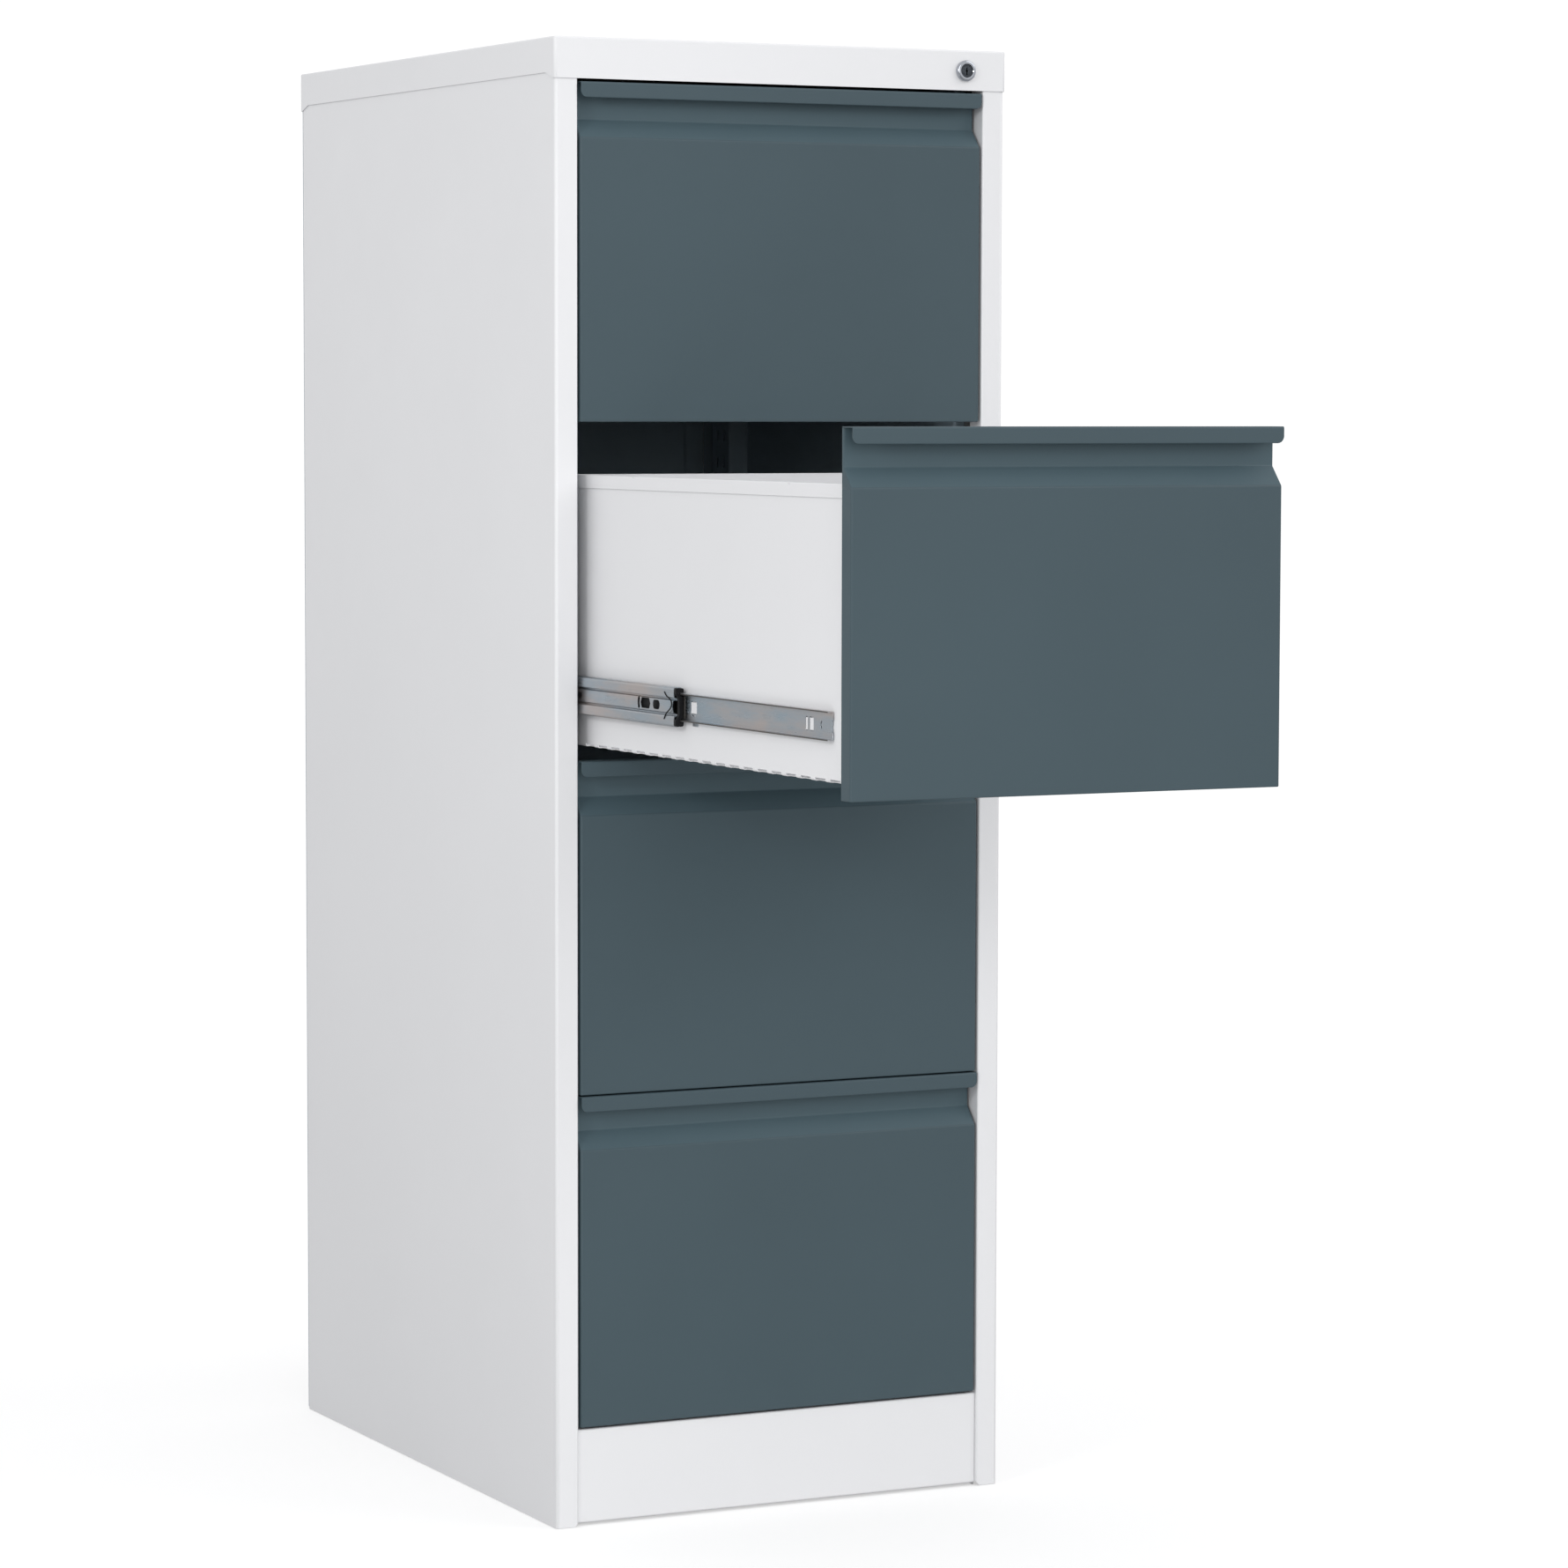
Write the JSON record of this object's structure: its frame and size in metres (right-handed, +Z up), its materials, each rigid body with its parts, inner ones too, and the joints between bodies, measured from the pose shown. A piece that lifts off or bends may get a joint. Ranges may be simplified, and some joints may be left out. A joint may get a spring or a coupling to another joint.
{
  "type": "filing cabinet",
  "caption": "Tall vertical steel filing cabinet with full-extension drawers on ball-bearing slides, finger-pull lips and a corner lock, one drawer pulled out.",
  "frame": {"origin": "on the floor, under the centre of the whole object's box with the second drawer pulled out", "axes": "+Z up, +X to the viewer's right when facing the drawers, drawers open towards -Y"},
  "size_m": [0.452, 1.1484, 1.33],
  "materials": {
    "white_paint": "satin powder coat",
    "slate_paint": "fine matt powder coat",
    "zinc_plate": "bright zinc plate",
    "chrome": "polished",
    "lock_steel": "dark plated",
    "black_plastic": "moulded"
  },
  "bodies": {
    "carcass": {"side_panel_left": "white_paint", "side_panel_right": "white_paint", "top_cover": "white_paint", "back_panel": "white_paint", "base_panel": "white_paint", "plinth": "white_paint", "front_upright_left": "zinc_plate", "front_upright_right": "zinc_plate", "rear_upright_left": "zinc_plate", "rear_upright_right": "zinc_plate", "levelling_foot_front_left": "black_plastic", "levelling_foot_front_right": "black_plastic", "levelling_foot_rear_left": "black_plastic", "levelling_foot_rear_right": "black_plastic", "lock_body": "chrome", "lock_nut": "zinc_plate", "lock_bar_guide": "zinc_plate", "slide_outer_left_1": "zinc_plate", "slide_outer_right_1": "zinc_plate", "slide_outer_left_2": "zinc_plate", "slide_outer_right_2": "zinc_plate", "slide_outer_left_3": "zinc_plate", "slide_outer_right_3": "zinc_plate", "slide_outer_left_4": "zinc_plate", "slide_outer_right_4": "zinc_plate"},
    "drawer_1": {"drawer_front_1": "slate_paint", "drawer_tray_1": "white_paint", "drawer_back_1": "white_paint", "slide_inner_left_1": "zinc_plate", "slide_inner_right_1": "zinc_plate"},
    "drawer_2": {"drawer_front_2": "slate_paint", "drawer_tray_2": "white_paint", "drawer_back_2": "white_paint", "slide_inner_left_2": "zinc_plate", "slide_inner_right_2": "zinc_plate"},
    "drawer_3": {"drawer_front_3": "slate_paint", "drawer_tray_3": "white_paint", "drawer_back_3": "white_paint", "slide_inner_left_3": "zinc_plate", "slide_inner_right_3": "zinc_plate"},
    "drawer_4": {"drawer_front_4": "slate_paint", "drawer_tray_4": "white_paint", "drawer_back_4": "white_paint", "slide_inner_left_4": "zinc_plate", "slide_inner_right_4": "zinc_plate"},
    "slide_middle_left_1": {"slide_middle_left_1": "zinc_plate"},
    "slide_middle_right_1": {"slide_middle_right_1": "zinc_plate"},
    "slide_middle_left_2": {"slide_middle_left_2": "zinc_plate"},
    "slide_middle_right_2": {"slide_middle_right_2": "zinc_plate"},
    "slide_middle_left_3": {"slide_middle_left_3": "zinc_plate"},
    "slide_middle_right_3": {"slide_middle_right_3": "zinc_plate"},
    "slide_middle_left_4": {"slide_middle_left_4": "zinc_plate"},
    "slide_middle_right_4": {"slide_middle_right_4": "zinc_plate"},
    "lock_plug": {"lock_plug": "lock_steel", "lock_cam": "lock_steel"},
    "lock_bar": {"lock_bar": "zinc_plate", "lock_hook_1": "zinc_plate", "lock_hook_2": "zinc_plate", "lock_hook_3": "zinc_plate", "lock_hook_4": "zinc_plate"}
  },
  "joints": [
    {"name": "drawer_1_slide", "type": "slide", "parent": "carcass", "child": "drawer_1", "axis": [0, -1, 0], "range_m": [0, 0.54]},
    {"name": "drawer_2_slide", "type": "slide", "parent": "carcass", "child": "drawer_2", "axis": [0, -1, 0], "range_m": [-0.527, 0.013]},
    {"name": "drawer_3_slide", "type": "slide", "parent": "carcass", "child": "drawer_3", "axis": [0, -1, 0], "range_m": [0, 0.54]},
    {"name": "drawer_4_slide", "type": "slide", "parent": "carcass", "child": "drawer_4", "axis": [0, -1, 0], "range_m": [0, 0.54]},
    {"name": "slide_middle_left_1_travel", "type": "slide", "parent": "carcass", "child": "slide_middle_left_1", "axis": [0, -1, 0], "range_m": [0, 0.27]},
    {"name": "slide_middle_right_1_travel", "type": "slide", "parent": "carcass", "child": "slide_middle_right_1", "axis": [0, -1, 0], "range_m": [0, 0.27]},
    {"name": "slide_middle_left_2_travel", "type": "slide", "parent": "carcass", "child": "slide_middle_left_2", "axis": [0, -1, 0], "range_m": [-0.2635, 0.0065]},
    {"name": "slide_middle_right_2_travel", "type": "slide", "parent": "carcass", "child": "slide_middle_right_2", "axis": [0, -1, 0], "range_m": [-0.2635, 0.0065]},
    {"name": "slide_middle_left_3_travel", "type": "slide", "parent": "carcass", "child": "slide_middle_left_3", "axis": [0, -1, 0], "range_m": [0, 0.27]},
    {"name": "slide_middle_right_3_travel", "type": "slide", "parent": "carcass", "child": "slide_middle_right_3", "axis": [0, -1, 0], "range_m": [0, 0.27]},
    {"name": "slide_middle_left_4_travel", "type": "slide", "parent": "carcass", "child": "slide_middle_left_4", "axis": [0, -1, 0], "range_m": [0, 0.27]},
    {"name": "slide_middle_right_4_travel", "type": "slide", "parent": "carcass", "child": "slide_middle_right_4", "axis": [0, -1, 0], "range_m": [0, 0.27]},
    {"name": "lock_turn", "type": "hinge", "parent": "carcass", "child": "lock_plug", "pos_m": [0.184, -0.04585, 1.3113], "axis": [0, 1, 0], "range_deg": [0, 90.2]},
    {"name": "lock_bar_slide", "type": "slide", "parent": "carcass", "child": "lock_bar", "axis": [0, 0, -1], "range_m": [0, 0.01]}
  ],
  "couplings": [
    {"joint": "slide_middle_left_1_travel", "follows": "drawer_1_slide", "ratio": 0.5},
    {"joint": "slide_middle_right_1_travel", "follows": "drawer_1_slide", "ratio": 0.5},
    {"joint": "slide_middle_left_2_travel", "follows": "drawer_2_slide", "ratio": 0.5},
    {"joint": "slide_middle_right_2_travel", "follows": "drawer_2_slide", "ratio": 0.5},
    {"joint": "slide_middle_left_3_travel", "follows": "drawer_3_slide", "ratio": 0.5},
    {"joint": "slide_middle_right_3_travel", "follows": "drawer_3_slide", "ratio": 0.5},
    {"joint": "slide_middle_left_4_travel", "follows": "drawer_4_slide", "ratio": 0.5},
    {"joint": "slide_middle_right_4_travel", "follows": "drawer_4_slide", "ratio": 0.5},
    {"joint": "lock_turn", "follows": "lock_bar_slide", "rad_per_m": 157.08}
  ]
}
